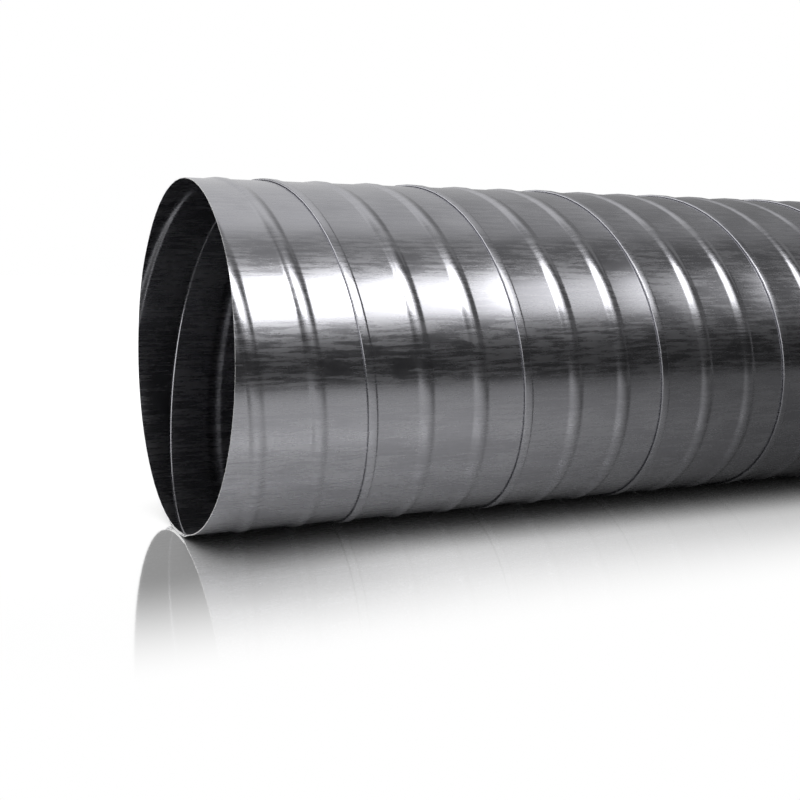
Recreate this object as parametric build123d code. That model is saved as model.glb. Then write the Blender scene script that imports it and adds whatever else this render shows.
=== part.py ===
from build123d import *
from math import atan2, degrees, pi, tan
import os

# A spiral duct: one galvanised strip wound into a tube. Its two edges are hooked together in
# a lock seam that climbs round the outside, and two stiffening ribs are rolled in between.
# The duct stands on its end, with the centre of its lower opening at the origin.

bore_radius = 125.0
duct_length = 1000.0
sheet = 0.5
strip_width = 137.0

seam_width = 6.0
seam_lean = 0.2
fold_reach = 0.4
jog_width = 2.3
jog_groove = 1.0

# The ribs' middles, up the duct from the seam's.
rib_places = (37.0, 78.5)
rib_width = 13.0
rib_crown = 4.0
rib_height = 1.3

# How deep the feet of what is rolled into the strip run on into the round that it stands on.
root = 0.6

# The seam takes four plies where the wall has one, out of the strip's width.
seam_plies = 4
pitch = strip_width - (seam_plies - 1) * seam_width


def rooted(left_foot, left_crest, right_crest, right_foot, foot, crest):
    """The corners of a ridge's profile, as distances up the duct and lifts off the bore. Its
    flanks run on straight below its feet."""
    below = root / (crest - foot)
    left_root = left_foot - below * (left_crest - left_foot)
    right_root = right_foot + below * (right_foot - right_crest)
    crests = [(left_crest, crest)]
    if right_crest > left_crest:
        crests.append((right_crest, crest))
    return [(left_root, foot - root), *crests, (right_root, foot - root)]


def rib(middle, width, crown, foot, crest):
    return rooted(
        middle - width / 2, middle - crown / 2, middle + crown / 2, middle + width / 2, foot, crest
    )


def wind(profile):
    """Winds a profile up the duct, one pitch for each turn, from under its lower end to over
    its upper end. A profile's place of 0 comes out of the upper end on the duct's -X side."""
    places = [along for along, lift in profile]
    start = -max(places) - 1
    rise = duct_length + max(places) - min(places) + 2
    turn = 180 + 360 * (start - duct_length) / pitch
    rails = [
        Edge.make_helix(pitch, rise, bore_radius + lift).moved(
            Location((0, 0, start + along), (0, 0, 1), turn)
        )
        for along, lift in profile
    ]
    next_rails = rails[1:] + rails[:1]
    faces = [Face.make_surface_from_curves(*pair) for pair in zip(rails, next_rails)]
    for at in (0, 1):
        faces.append(Face(Wire.make_polygon([rail.position_at(at) for rail in rails])))
    return Solid(Shell(faces))


def bar(radius, profiles):
    """A round bar with profiles wound on it, sawn square at both ends."""
    spare = seam_width
    size = 4 * bore_radius
    body = Solid.make_cylinder(radius, duct_length + 2 * spare, Plane((0, 0, -spare)))
    body = body.fuse(*[wind(profile) for profile in profiles])
    below = Solid.make_box(size, size, size, Plane((-size / 2, -size / 2, -size)))
    above = Solid.make_box(size, size, size, Plane((-size / 2, -size / 2, duct_length)))
    return body.cut(below, above)


def outside():
    """The wall's outer face, with the seam standing out on it and the ribs."""
    half_seam = seam_width / 2
    jog_top = fold_reach - half_seam
    crest = seam_plies * sheet
    seam = rooted(jog_top - jog_width, jog_top, half_seam - seam_lean, half_seam, sheet, crest)
    ribs = [rib(middle, rib_width, rib_crown, sheet, sheet + rib_height) for middle in rib_places]
    return bar(bore_radius + sheet, [seam, *ribs])


def inside():
    """The wall's inner face, with the backs of the ribs and the narrow groove that the seam's
    jog leaves beside the folded edge."""
    fold = -seam_width / 2
    near = fold + fold_reach
    groove = rooted(near - jog_width, fold, fold, near, 0, jog_groove)
    # The backs are narrower by as much as keeps the flanks one sheet thick.
    flank = atan2(rib_height, (rib_width - rib_crown) / 2)
    tuck = 2 * sheet * tan(flank / 2)
    backs = [rib(middle, rib_width - tuck, rib_crown - tuck, 0, rib_height) for middle in rib_places]
    return bar(bore_radius, [groove, *backs])


def end_face(solid, at):
    flats = solid.faces().filter_by(GeomType.PLANE)
    return min(flats, key=lambda face: abs(face.center().Z - at))


def duct_wall():
    """The wall between the outside and the inside, closed by a ring at each end."""
    sides = [outside(), inside()]
    faces = [face for side in sides for face in side.faces() if face.geom_type != GeomType.PLANE]
    for at in (0, duct_length):
        rim, opening = (end_face(side, at).outer_wire() for side in sides)
        faces.append(Face(rim, [opening]))
    return Solid(Shell(faces))


os.makedirs("parts", exist_ok=True)
wall = duct_wall()
wall.label = "duct_wall"
export_step(wall, "parts/duct_wall.step")
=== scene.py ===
import bpy
import bmesh
from math import atan, cos, degrees, pi, radians, sin, tan
from mathutils import Matrix, Vector


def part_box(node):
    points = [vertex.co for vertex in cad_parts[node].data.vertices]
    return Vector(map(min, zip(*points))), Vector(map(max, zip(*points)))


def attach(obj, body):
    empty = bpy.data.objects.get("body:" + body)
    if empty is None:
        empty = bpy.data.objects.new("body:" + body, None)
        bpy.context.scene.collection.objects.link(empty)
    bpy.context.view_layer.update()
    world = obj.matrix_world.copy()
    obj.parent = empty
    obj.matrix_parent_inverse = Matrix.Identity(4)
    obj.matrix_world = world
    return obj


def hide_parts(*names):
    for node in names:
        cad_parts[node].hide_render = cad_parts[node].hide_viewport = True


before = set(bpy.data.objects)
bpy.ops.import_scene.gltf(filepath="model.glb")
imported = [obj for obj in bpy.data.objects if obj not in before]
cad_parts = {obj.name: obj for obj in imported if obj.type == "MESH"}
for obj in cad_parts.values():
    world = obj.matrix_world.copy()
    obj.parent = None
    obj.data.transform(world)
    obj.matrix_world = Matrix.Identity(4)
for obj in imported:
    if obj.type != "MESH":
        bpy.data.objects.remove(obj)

scene = bpy.context.scene
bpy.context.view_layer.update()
ductLow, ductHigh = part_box("duct_wall")
ductLength = ductHigh[2] - ductLow[2]
mm = 0.001
weldDistance = 0.000001      # metres, as is the reach of the saw cut
cutReach = 0.0000001


def addNode(tree, kind, **settings):
    node = tree.nodes.new(kind)
    for name, value in settings.items():
        setattr(node, name, value)
    return node


def feed(tree, target, value):
    # a socket takes either a plain value or another node's output
    if isinstance(value, bpy.types.NodeSocket):
        tree.links.new(value, target)
    else:
        target.default_value = value


def mathNode(tree, operation, *inputs):
    node = addNode(tree, "ShaderNodeMath", operation=operation)
    for slot, value in enumerate(inputs):
        feed(tree, node.inputs[slot], value)
    return node.outputs[0]


# The wall is one strip, its edges hooked together, wound into a tube.
# Sizes in millimetres, as the strip is rolled before it is wound.

ductWall = {
    "boreRadius": 125.0,
    "sheet": 0.5,
    "stripWidth": 137.0,
    "seamWidth": 6.0,
    "plyGap": 0.03,          # left between the pressed plies
    "hookShort": 0.3,        # how far the hooked edges stop short of the folds
    "jogRadius": 1.0,
    "jogAngle": 50.0,
    "ribPlaces": (37.0, 78.5),   # up the duct from the seam's middle
    "ribWidth": 14.0,
    "ribHeight": 1.3,
    "ribFootShare": 0.4,     # the foot radius's share of a rib's flank
    "foldSteps": 8,
    "ribSteps": 8,
    "jogSteps": 4,
    "leastStep": 0.02,       # points of the outline closer than this are one
    "stepsPerTurn": 64,
    "turnsBefore": 1.1,      # wound past the upper end and the lower, before both are sawn
    "turnsAfter": 0.1,
    "sharpAngle": 38.0,      # degrees, above which an edge shows as a crease
}


def bend(points, centre, radius, start, end, steps):
    # an arc of the strip's middle line, its angles in degrees
    for step in range(steps + 1):
        angle = radians(start + (end - start) * step / steps)
        points.append((centre[0] + radius * cos(angle), centre[1] + radius * sin(angle)))


def stripMiddleLine(wall, pitch):
    # (distance down the duct, lift off the bore), from one hooked edge to the other
    plyStep = wall["sheet"] + wall["plyGap"]
    level = [wall["sheet"] / 2 + plyStep * ply for ply in range(4)]
    foldAt = wall["seamWidth"] / 2 - plyStep - wall["sheet"] / 2
    hookAt = foldAt - wall["hookShort"]

    # the leading edge: hook, fold and outermost ply
    points = [(hookAt, level[1])]
    bend(points, (-foldAt, level[2]), plyStep, 270, 90, wall["foldSteps"])

    # the jog from the outermost ply down to the wall
    radius, angle = wall["jogRadius"], wall["jogAngle"]
    drop = 3 * plyStep - 2 * radius * (1 - cos(radians(angle)))
    jogStart = foldAt + wall["hookShort"]
    jogEnd = jogStart + 2 * radius * sin(radians(angle)) + drop / tan(radians(angle))
    bend(points, (jogStart, level[3] - radius), radius, 90, 90 - angle, wall["jogSteps"])
    bend(points, (jogEnd, level[0] + radius), radius, 270 - angle, 270, wall["jogSteps"])

    # each rib: a foot radius, a crown and a foot radius, tangent to each other
    half, height = wall["ribWidth"] / 2, wall["ribHeight"]
    flank = degrees(2 * atan(height / half))
    bothRadii = half / sin(radians(flank))
    foot = bothRadii * wall["ribFootShare"]
    crown = bothRadii - foot
    for place in sorted(pitch - ribPlace for ribPlace in wall["ribPlaces"]):
        footLift, crownLift = level[0] + foot, level[0] + height - crown
        bend(points, (place - half, footLift), foot, 270, 270 + flank, wall["ribSteps"] // 2)
        bend(points, (place, crownLift), crown, 90 + flank, 90 - flank, wall["ribSteps"])
        bend(points, (place + half, footLift), foot, 270 - flank, 270, wall["ribSteps"] // 2)

    # the trailing edge: the wall's own ply, fold and hook
    bend(points, (pitch + foldAt, level[1]), plyStep, -90, 90, wall["foldSteps"])
    points.append((pitch - hookAt, level[2]))

    # arcs that meet share a point
    kept = points[:1]
    for point in points[1:]:
        if (Vector(point) - Vector(kept[-1])).length > wall["leastStep"]:
            kept.append(point)
    return kept


def stripOutline(wall, pitch):
    # the middle line with the sheet's thickness, once round: outer face, then inner face back
    line = [Vector(point) for point in stripMiddleLine(wall, pitch)]
    outer, inner = [], []
    for place, point in enumerate(line):
        before = line[max(place - 1, 0)]
        after = line[min(place + 1, len(line) - 1)]
        if 0 < place < len(line) - 1:
            along = ((after - point).normalized() + (point - before).normalized()).normalized()
        else:
            along = (after - before).normalized()
        across = Vector((-along.y, along.x)) * wall["sheet"] / 2
        outer.append(point + across)
        inner.append(point - across)
    return outer + inner[::-1]


def windingTree():
    # winds the outline that comes in as a flat loop: x down the duct, y off the bore
    tree = bpy.data.node_groups.new("wind strip", "GeometryNodeTree")
    face = tree.interface
    face.new_socket("Outline", in_out="INPUT", socket_type="NodeSocketGeometry")
    for name in ("Bore radius", "Pitch", "Upper end", "First turn", "Turns"):
        face.new_socket(name, in_out="INPUT", socket_type="NodeSocketFloat")
    for name in ("Outline points", "Winding steps"):
        face.new_socket(name, in_out="INPUT", socket_type="NodeSocketInt")
    face.new_socket("Finish", in_out="INPUT", socket_type="NodeSocketMaterial")
    face.new_socket("Wall", in_out="OUTPUT", socket_type="NodeSocketGeometry")
    given = addNode(tree, "NodeGroupInput").outputs
    result = addNode(tree, "NodeGroupOutput").inputs

    # a grid with the outline's points one way, closed on itself, and the winding the other
    columns = mathNode(tree, "ADD", given["Outline points"], 1.0)
    grid = addNode(tree, "GeometryNodeMeshGrid")
    feed(tree, grid.inputs["Size X"], given["Outline points"])
    feed(tree, grid.inputs["Size Y"], 1.0)
    feed(tree, grid.inputs["Vertices X"], columns)
    feed(tree, grid.inputs["Vertices Y"], given["Winding steps"])
    place = addNode(tree, "ShaderNodeSeparateXYZ")
    feed(tree, place.inputs[0], addNode(tree, "GeometryNodeInputPosition").outputs[0])
    half = mathNode(tree, "MULTIPLY", given["Outline points"], 0.5)
    column = mathNode(tree, "ROUND", mathNode(tree, "ADD", place.outputs["X"], half))
    column = mathNode(tree, "MODULO", column, given["Outline points"])
    turn = mathNode(tree, "ADD", place.outputs["Y"], 0.5)
    turn = mathNode(tree, "MULTIPLY_ADD", turn, given["Turns"], given["First turn"])

    # each grid point looks up its outline point
    sample = addNode(tree, "GeometryNodeSampleIndex", data_type="FLOAT_VECTOR", domain="POINT")
    feed(tree, sample.inputs["Geometry"], given["Outline"])
    feed(tree, sample.inputs["Value"], addNode(tree, "GeometryNodeInputPosition").outputs[0])
    feed(tree, sample.inputs["Index"], column)
    outline = addNode(tree, "ShaderNodeSeparateXYZ")
    feed(tree, outline.inputs[0], sample.outputs["Value"])

    # and is wound from the upper end: one turn round the duct, from -X by +Y, for one pitch down
    angle = mathNode(tree, "MULTIPLY", turn, 2 * pi)
    radius = mathNode(tree, "ADD", given["Bore radius"], outline.outputs["Y"])
    down = mathNode(tree, "MULTIPLY_ADD", turn, given["Pitch"], outline.outputs["X"])
    across = mathNode(tree, "MULTIPLY", radius, mathNode(tree, "COSINE", angle))
    across = mathNode(tree, "MULTIPLY", across, -1.0)
    back = mathNode(tree, "MULTIPLY", radius, mathNode(tree, "SINE", angle))
    height = mathNode(tree, "SUBTRACT", given["Upper end"], down)
    wound = addNode(tree, "ShaderNodeCombineXYZ")
    for slot, value in zip(wound.inputs, (across, back, height)):
        feed(tree, slot, value)
    # UVs follow the strip in metres: u down its length, v across its width
    stripUv = addNode(tree, "ShaderNodeCombineXYZ")
    feed(tree, stripUv.inputs[0], mathNode(tree, "MULTIPLY", angle, given["Bore radius"]))
    feed(tree, stripUv.inputs[1], outline.outputs["X"])
    store = addNode(tree, "GeometryNodeStoreNamedAttribute", data_type="FLOAT2", domain="CORNER")
    feed(tree, store.inputs["Geometry"], grid.outputs["Mesh"])
    feed(tree, store.inputs["Name"], "UVMap")
    feed(tree, store.inputs["Value"], stripUv.outputs[0])
    move = addNode(tree, "GeometryNodeSetPosition")
    feed(tree, move.inputs["Geometry"], store.outputs["Geometry"])
    feed(tree, move.inputs["Position"], wound.outputs[0])

    # the outline's last column meets its first
    weld = addNode(tree, "GeometryNodeMergeByDistance")
    feed(tree, weld.inputs["Geometry"], move.outputs["Geometry"])
    feed(tree, weld.inputs["Distance"], weldDistance)
    realize = addNode(tree, "GeometryNodeRealizeInstances")
    feed(tree, realize.inputs["Geometry"], weld.outputs["Geometry"])
    paint = addNode(tree, "GeometryNodeSetMaterial")
    feed(tree, paint.inputs["Geometry"], realize.outputs["Geometry"])
    feed(tree, paint.inputs["Material"], given["Finish"])
    feed(tree, result["Wall"], paint.outputs["Geometry"])
    return tree


def cutSquare(mesh, lowerEnd, upperEnd):
    # the wound strip runs past both ends; the duct is sawn square and its cut edges closed
    wall = bmesh.new()
    wall.from_mesh(mesh)
    for at, outwards in ((lowerEnd, -1.0), (upperEnd, 1.0)):
        everything = wall.verts[:] + wall.edges[:] + wall.faces[:]
        cut = bmesh.ops.bisect_plane(
            wall, geom=everything, dist=cutReach, plane_co=(0, 0, at),
            plane_no=(0, 0, outwards), clear_outer=True)
        rim = [part for part in cut["geom_cut"] if isinstance(part, bmesh.types.BMEdge)]
        bmesh.ops.triangle_fill(wall, use_beauty=True, edges=rim, normal=(0, 0, outwards))
    bmesh.ops.recalc_face_normals(wall, faces=wall.faces[:])
    wall.to_mesh(mesh)
    wall.free()


def makeDuctWall(wall, finish):
    pitch = wall["stripWidth"] - 3 * wall["seamWidth"]
    outline = stripOutline(wall, pitch)
    flatLoop = bpy.data.meshes.new("strip outline")
    flatLoop.from_pydata([(point.x * mm, point.y * mm, 0) for point in outline], [], [])
    strip = bpy.data.objects.new("strip", flatLoop)
    scene.collection.objects.link(strip)

    turns = ductLength / (pitch * mm) + wall["turnsBefore"] + wall["turnsAfter"]
    sizes = {
        "Bore radius": wall["boreRadius"] * mm,
        "Pitch": pitch * mm,
        "Upper end": ductHigh[2],
        "First turn": -wall["turnsBefore"],
        "Turns": turns,
        "Outline points": len(outline),
        "Winding steps": round(turns * wall["stepsPerTurn"]) + 1,
        "Finish": finish,
    }
    winding = strip.modifiers.new("winding", "NODES")
    tree = windingTree()
    winding.node_group = tree
    for socket in tree.interface.items_tree:
        if socket.in_out == "INPUT" and socket.name in sizes:
            winding[socket.identifier] = sizes[socket.name]
    evaluated = strip.evaluated_get(bpy.context.evaluated_depsgraph_get())
    mesh = bpy.data.meshes.new_from_object(evaluated)
    strip.modifiers.remove(winding)
    bpy.data.objects.remove(strip)
    cutSquare(mesh, ductLow[2], ductHigh[2])
    mesh.shade_smooth()
    mesh.set_sharp_from_angle(angle=radians(wall["sharpAngle"]))
    piece = bpy.data.objects.new("wound_duct_wall", mesh)
    scene.collection.objects.link(piece)
    print("duct wall:", len(outline), "outline points,", len(mesh.polygons), "faces,",
          sum(len(face.vertices) - 2 for face in mesh.polygons), "triangles")
    return piece


# Bare zinc-coated steel. Sizes in metres on the strip: u runs down its length, which goes round
# the duct, and v across its width, which goes along the duct.

galvanisedSteel = {
    "colour": (0.385, 0.385, 0.410),
    "paleColour": (0.46, 0.46, 0.485),
    "roughness": (0.22, 0.31),       # of the darker coat and of the paler
    "blotch": (0.030, 0.045),        # the size of an oxidised patch, round and along
    "blotchDetail": 6.0,
    "blotchBend": 0.4,
    "blotchShare": 0.45,             # how much the patches count in what turns the coat pale
    "streak": (0.0022, 0.030),       # rolling streaks, fine round the duct and long along it
    "streakDetail": 3.0,
    "streakShare": 0.55,
    "streakDepth": 0.0000022,
    "grain": (0.0006, 0.006),
    "grainDetail": 2.0,
    "grainShare": 0.25,
    "grainDepth": 0.0000006,
    "ripple": (0.05, 0.035),         # slow waves in the sheet
    "rippleDetail": 1.0,
    "rippleDepth": 0.00004,
    "paleBetween": (0.48, 0.78),     # the coat goes from its darker to its paler colour here
}


def stretchedNoise(tree, coordinates, size, detail, distortion=0.0):
    # a noise whose marks are about this large in metres, round and along the duct
    squeeze = addNode(tree, "ShaderNodeMapping")
    feed(tree, squeeze.inputs["Vector"], coordinates)
    squeeze.inputs["Scale"].default_value = (1 / size[0], 1 / size[1], 1)
    noise = addNode(tree, "ShaderNodeTexNoise")
    feed(tree, noise.inputs["Vector"], squeeze.outputs[0])
    noise.inputs["Scale"].default_value = 1.0
    noise.inputs["Detail"].default_value = detail
    noise.inputs["Distortion"].default_value = distortion
    return noise.outputs[0]


def spread(tree, value, fromLow, fromHigh, toLow=0.0, toHigh=1.0):
    node = addNode(tree, "ShaderNodeMapRange", interpolation_type="SMOOTHSTEP")
    for slot, given in zip(node.inputs, (value, fromLow, fromHigh, toLow, toHigh)):
        feed(tree, slot, given)
    return node.outputs[0]


def bumped(tree, height, depth, normal=None):
    bump = addNode(tree, "ShaderNodeBump")
    bump.inputs["Strength"].default_value = 1.0
    bump.inputs["Distance"].default_value = depth
    feed(tree, bump.inputs["Height"], height)
    if normal:
        feed(tree, bump.inputs["Normal"], normal)
    return bump.outputs[0]


def galvanisedMaterial(steel):
    material = bpy.data.materials.new("galvanised steel")
    material.use_nodes = True
    tree = material.node_tree
    shader = tree.nodes["Principled BSDF"]
    shader.inputs["Metallic"].default_value = 1.0
    strip = addNode(tree, "ShaderNodeUVMap", uv_map="UVMap").outputs[0]
    blotches = stretchedNoise(
        tree, strip, steel["blotch"], steel["blotchDetail"], steel["blotchBend"])
    streaks = stretchedNoise(tree, strip, steel["streak"], steel["streakDetail"])
    grain = stretchedNoise(tree, strip, steel["grain"], steel["grainDetail"])
    ripples = stretchedNoise(tree, strip, steel["ripple"], steel["rippleDetail"])

    # patches, streaks and grain together make the coat paler and duller
    mottle = mathNode(tree, "MULTIPLY", blotches, steel["blotchShare"])
    mottle = mathNode(tree, "MULTIPLY_ADD", streaks, steel["streakShare"], mottle)
    mottle = mathNode(tree, "MULTIPLY_ADD", grain, steel["grainShare"], mottle)
    mottle = spread(tree, mottle, *steel["paleBetween"])
    colour = addNode(tree, "ShaderNodeMix", data_type="RGBA")
    feed(tree, colour.inputs["Factor"], mottle)
    feed(tree, colour.inputs[6], (*steel["colour"], 1))
    feed(tree, colour.inputs[7], (*steel["paleColour"], 1))
    feed(tree, shader.inputs["Base Color"], colour.outputs[2])
    feed(tree, shader.inputs["Roughness"], spread(tree, mottle, 0.0, 1.0, *steel["roughness"]))

    normal = bumped(tree, ripples, steel["rippleDepth"])
    normal = bumped(tree, streaks, steel["streakDepth"], normal)
    normal = bumped(tree, grain, steel["grainDepth"], normal)
    feed(tree, shader.inputs["Normal"], normal)
    print("galvanised steel mixed")
    return material


finish = galvanisedMaterial(galvanisedSteel)
ductWallPiece = makeDuctWall(ductWall, finish)
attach(ductWallPiece, "root")
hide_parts("duct_wall")

# The part stands on its end, but the photograph shows it lying. So the studio is set up round
# the duct as it lies there, with x along the duct from its near end, y away from the camera and
# z up, and then all of it is turned with the duct.

turned = Matrix(((0, 0, 1, 0), (0, 1, 0, 0), (-1, 0, 0, ductHigh[2]), (0, 0, 0, 1)))

studio = {
    "sheetFrom": (-3.0, -0.45),      # the white sheet that the duct lies on: x and y
    "sheetTo": (4.0, 6.0),
    "sheetColour": 0.62,
    "standSize": 0.5,                # the small pale floor under the duct's lower end
    "glow": (0.28, 1.0),             # the sheet's white to the camera, near the duct and away; the lower value near the duct is painted shade
    "glowReach": (0.09, 0.25),       # where it goes from one to the other, in front of the duct
    "glowAlong": 0.50,               # its white near the duct, away from the duct's upper end, also painted shade
    "glowAlongReach": (0.84, 0.99),
    "mirror": 0.83,                  # how much the sheet mirrors near the duct
    "mirrorRoughness": 0.06,
    "glossShare": 0.28,              # how much of the sheet's white the metal shows
    "dimming": (0.95, 0.40),         # heights between which painted shade dims the sheet, in the metal and in the light it throws
    "dimTo": 0.20,
    "nearDimming": (1.0, 1.08),      # and painted shade again beyond the duct's upper end
    "nearDimTo": 0.1,
    "shadowReach": 0.05,             # the duct's contact shadow
    "shadowRange": (0.05, 0.95),
    "shadowSamples": 8,
}


def bareMaterial(name):
    material = bpy.data.materials.new(name)
    material.use_nodes = True
    material.node_tree.nodes.clear()
    output = addNode(material.node_tree, "ShaderNodeOutputMaterial")
    return material, material.node_tree, output.inputs["Surface"]


def mixShaders(tree, share, first, second):
    mix = addNode(tree, "ShaderNodeMixShader")
    feed(tree, mix.inputs[0], share)
    tree.links.new(first, mix.inputs[1])
    tree.links.new(second, mix.inputs[2])
    return mix.outputs[0]


def greyFrom(tree, value):
    # a colour with the same value in each of its channels
    node = addNode(tree, "ShaderNodeCombineXYZ")
    for slot in node.inputs:
        feed(tree, slot, value)
    return node.outputs[0]


def sheetMaterial(studio, withMirror):
    # white to the camera, with painted shade near the duct, the duct's contact shadow painted from
    # occlusion and a fading reflection
    material, tree, surface = bareMaterial("white sheet" if withMirror else "white stand")
    rays = addNode(tree, "ShaderNodeLightPath").outputs
    place = addNode(tree, "ShaderNodeSeparateXYZ")
    feed(tree, place.inputs[0], addNode(tree, "ShaderNodeTexCoord").outputs["Object"])
    inFront = mathNode(tree, "MULTIPLY", place.outputs["Y"], -1.0)
    near, far = studio["glowReach"]

    # what the camera sees: white, painted darker in front of the duct as painted shade
    glow = 1.0
    if withMirror:
        low, high = studio["glow"]
        low = spread(tree, place.outputs["Z"], *studio["glowAlongReach"], studio["glowAlong"], low)
        glow = spread(tree, inFront, near, far, low, high)
    shade = addNode(tree, "ShaderNodeAmbientOcclusion", samples=studio["shadowSamples"])
    shade.inputs["Distance"].default_value = studio["shadowReach"]
    shadow = spread(tree, shade.outputs["AO"], *studio["shadowRange"])
    white = addNode(tree, "ShaderNodeEmission")
    feed(tree, white.inputs["Strength"], mathNode(tree, "MULTIPLY", glow, shadow))
    seen = white.outputs[0]
    if withMirror:
        mirror = addNode(tree, "ShaderNodeBsdfGlossy")
        mirror.inputs["Roughness"].default_value = studio["mirrorRoughness"]
        share = mathNode(tree, "SUBTRACT", 1.0, spread(tree, inFront, near, far))
        share = mathNode(tree, "MULTIPLY", share, studio["mirror"])
        feed(tree, mirror.inputs["Color"], greyFrom(tree, share))
        both = addNode(tree, "ShaderNodeAddShader")
        tree.links.new(white.outputs[0], both.inputs[0])
        tree.links.new(mirror.outputs[0], both.inputs[1])
        seen = both.outputs[0]

    # what lights the duct and shows in its metal: the sheet's grey, with painted shade that
    # darkens it towards the duct's lower end and beyond its upper end
    pale = studio["sheetColour"]
    dimFrom, dimAt = studio["dimming"]
    dim = spread(tree, place.outputs["Z"], dimAt, dimFrom, studio["dimTo"] * pale, pale)
    nearDim = spread(tree, place.outputs["Z"], *studio["nearDimming"], 1.0, studio["nearDimTo"])
    dim = mathNode(tree, "MULTIPLY", dim, nearDim)
    plain = addNode(tree, "ShaderNodeBsdfDiffuse")
    feed(tree, plain.inputs["Color"], greyFrom(tree, dim))
    glossy = mathNode(tree, "MAXIMUM", rays["Is Glossy Ray"], rays["Is Transmission Ray"])
    glossy = mathNode(tree, "MULTIPLY", glossy, studio["glossShare"])
    glossy = mathNode(tree, "MULTIPLY", glossy, dim)
    direct = mathNode(tree, "MAXIMUM", rays["Is Camera Ray"], glossy)
    front = mixShaders(tree, direct, plain.outputs[0], seen)

    # from behind it isn't there, so that it hides the duct from no side
    clear = addNode(tree, "ShaderNodeBsdfTransparent")
    back = addNode(tree, "ShaderNodeNewGeometry").outputs["Backfacing"]
    tree.links.new(mixShaders(tree, back, front, clear.outputs[0]), surface)
    return material


def stagePlane(name, corners, material, turn=turned):
    mesh = bpy.data.meshes.new(name)
    mesh.from_pydata([turn @ Vector(corner) for corner in corners], [], [(0, 1, 2, 3)])
    mesh.materials.append(material)
    plane = bpy.data.objects.new(name, mesh)
    scene.collection.objects.link(plane)


def makeFloors(studio):
    # the sheet touches the duct's -X side, which is its underside in the photograph
    (fromX, fromY), (toX, toY) = studio["sheetFrom"], studio["sheetTo"]
    under = min(vertex.co.x for vertex in ductWallPiece.data.vertices)
    stagePlane("sheet", [(fromX, fromY, under), (toX, fromY, under), (toX, toY, under),
                         (fromX, toY, under)], sheetMaterial(studio, True))
    half = studio["standSize"] / 2
    stagePlane("stand", [(-half, -half, ductLow[2]), (half, -half, ductLow[2]),
                         (half, half, ductLow[2]), (-half, half, ductLow[2])],
               sheetMaterial(studio, False), Matrix())
    print("sheet touches the duct at x", round(under, 4))


makeFloors(studio)

lamps = {
    "softbox near": {"place": (0.33, -1.5, 1.17), "target": (0.33, -0.1, 0.0),
                     "size": (0.80, 0.85), "power": 12.0},
    "softbox middle": {"place": (0.93, -1.5, 1.17), "target": (0.93, -0.1, 0.0),
                       "size": (0.40, 0.85), "power": 4.6},
    "softbox far": {"place": (1.48, -1.5, 1.17), "target": (1.48, -0.1, 0.0),
                    "size": (0.70, 0.85), "power": 2.6},
}


def makeLamp(name, lamp):
    light = bpy.data.lights.new(name, "AREA")
    light.shape = "RECTANGLE"
    light.size, light.size_y = lamp["size"]
    light.energy = lamp["power"]
    lampObject = bpy.data.objects.new(name, light)
    aim = (Vector(lamp["target"]) - Vector(lamp["place"])).to_track_quat("-Z", "Y")
    lampObject.matrix_world = turned @ Matrix.Translation(lamp["place"]) @ aim.to_matrix().to_4x4()
    scene.collection.objects.link(lampObject)


for name, lamp in lamps.items():
    makeLamp(name, lamp)

print("lamps placed:", ", ".join(lamps))

# What the metal reflects of the room, by how high it lies: in degrees from straight in front,
# over the duct, to straight behind it. The other places are how far to the right it lies, from
# -1 to 1.
room = {
    "levels": ((-40, 0.10), (-5, 0.02), (10, 0.03), (24, 0.42), (50, 0.50), (62, 0.34),
               (82, 0.40), (92, 1.00), (125, 0.90), (155, 0.85), (180, 0.95)),
    "rightFrom": 0.25,               # the room dims from here to there
    "rightTo": 0.72,
    "rightShare": 0.30,
    "leftFrom": -0.10,
    "leftTo": -0.32,
    "leftShare": 0.04,
    "edgeLight": 1.8,                # from far to the left, for the folded edges
    "edgeFrom": -0.50,
    "edgeTo": -0.62,
    "strength": 1.0,
    "glossShare": 0.02,              # the least of its white that metal and glass show
}


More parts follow.
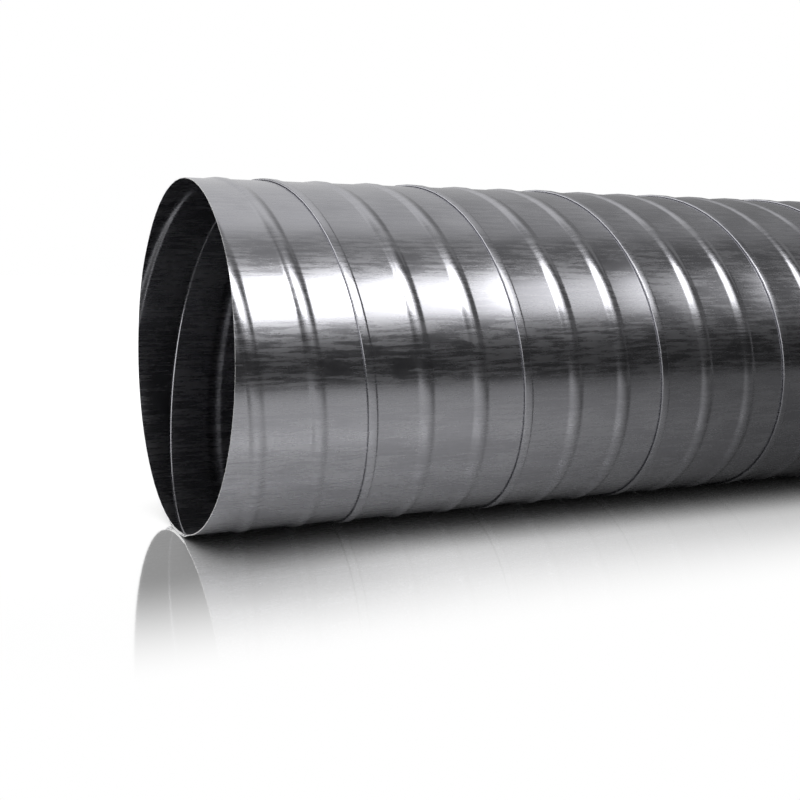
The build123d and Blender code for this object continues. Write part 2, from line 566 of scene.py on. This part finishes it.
def makeRoom(room):
    world = bpy.data.worlds.new("studio")
    world.use_nodes = True
    scene.world = world
    tree = world.node_tree
    background = tree.nodes["Background"]
    direction = addNode(tree, "ShaderNodeSeparateXYZ")
    feed(tree, direction.inputs[0], addNode(tree, "ShaderNodeTexCoord").outputs["Generated"])
    # in the photograph's terms: right is -Z, forward is +Y and up is +X
    right = mathNode(tree, "MULTIPLY", direction.outputs["Z"], -1.0)
    toFront = mathNode(tree, "MULTIPLY", direction.outputs["Y"], -1.0)
    high = mathNode(tree, "ARCTAN2", direction.outputs["X"], toFront)
    share = mathNode(tree, "MULTIPLY_ADD", high, 0.5 / pi, 0.5)
    ramp = addNode(tree, "ShaderNodeValToRGB")
    feed(tree, ramp.inputs[0], share)
    ramp.color_ramp.interpolation = "EASE"
    stops = ramp.color_ramp.elements
    while len(stops) < len(room["levels"]):
        stops.new(1.0)
    for stop, (angle, level) in zip(stops, room["levels"]):
        stop.position = angle / 360 + 0.5
    for stop, (angle, level) in zip(stops, room["levels"]):
        stop.color = (level, level, level, 1)
    fade = spread(tree, right, room["rightFrom"], room["rightTo"], 1.0, room["rightShare"])
    glow = mathNode(tree, "MULTIPLY", ramp.outputs[0], fade)
    leftFade = spread(tree, right, room["leftTo"], room["leftFrom"], room["leftShare"], 1.0)
    glow = mathNode(tree, "MULTIPLY", glow, leftFade)
    edge = spread(tree, right, room["edgeTo"], room["edgeFrom"], room["edgeLight"], 0.0)
    glow = mathNode(tree, "ADD", glow, edge)
    glow = mathNode(tree, "MULTIPLY", glow, room["strength"])
    # white to the camera, and a share of that white in metal and glass
    rays = addNode(tree, "ShaderNodeLightPath").outputs
    mirrored = mathNode(tree, "MAXIMUM", rays["Is Glossy Ray"], rays["Is Transmission Ray"])
    mirrored = mathNode(tree, "MULTIPLY", mirrored, room["glossShare"])
    glow = mathNode(tree, "MAXIMUM", glow, mirrored)
    glow = mathNode(tree, "MAXIMUM", glow, rays["Is Camera Ray"])
    feed(tree, background.inputs["Strength"], glow)
    background.inputs["Color"].default_value = (1, 1, 1, 1)
    print("room lit")


makeRoom(room)

# The camera as it stands beside the lying duct. Angles in degrees.

view = {
    "place": (-0.202946, -0.731306, 0.076860),
    "yaw": 23.9143,
    "pitch": -0.4337,
    "roll": 0.8188,
    "sensor": 36.0,
    "lens": 47.52,
    "shift": (0.0792, -0.1798),
}


def makeCamera(view):
    camera = bpy.data.cameras.new("camera")
    camera.sensor_width = view["sensor"]
    camera.lens = view["lens"]
    camera.shift_x, camera.shift_y = view["shift"]
    yaw, pitch, roll = (radians(view[name]) for name in ("yaw", "pitch", "roll"))
    forward = Vector((sin(yaw) * cos(pitch), cos(yaw) * cos(pitch), sin(pitch)))
    levelRight = Vector((cos(yaw), -sin(yaw), 0))
    levelUp = levelRight.cross(forward)
    right = levelRight * cos(roll) + levelUp * sin(roll)
    up = levelUp * cos(roll) - levelRight * sin(roll)
    axes = Matrix((right, up, -forward)).transposed().to_4x4()
    cameraObject = bpy.data.objects.new("camera", camera)
    scene.collection.objects.link(cameraObject)
    cameraObject.matrix_world = turned @ Matrix.Translation(view["place"]) @ axes
    scene.camera = cameraObject
    print("camera placed")


makeCamera(view)
scene.view_settings.view_transform = "Standard"
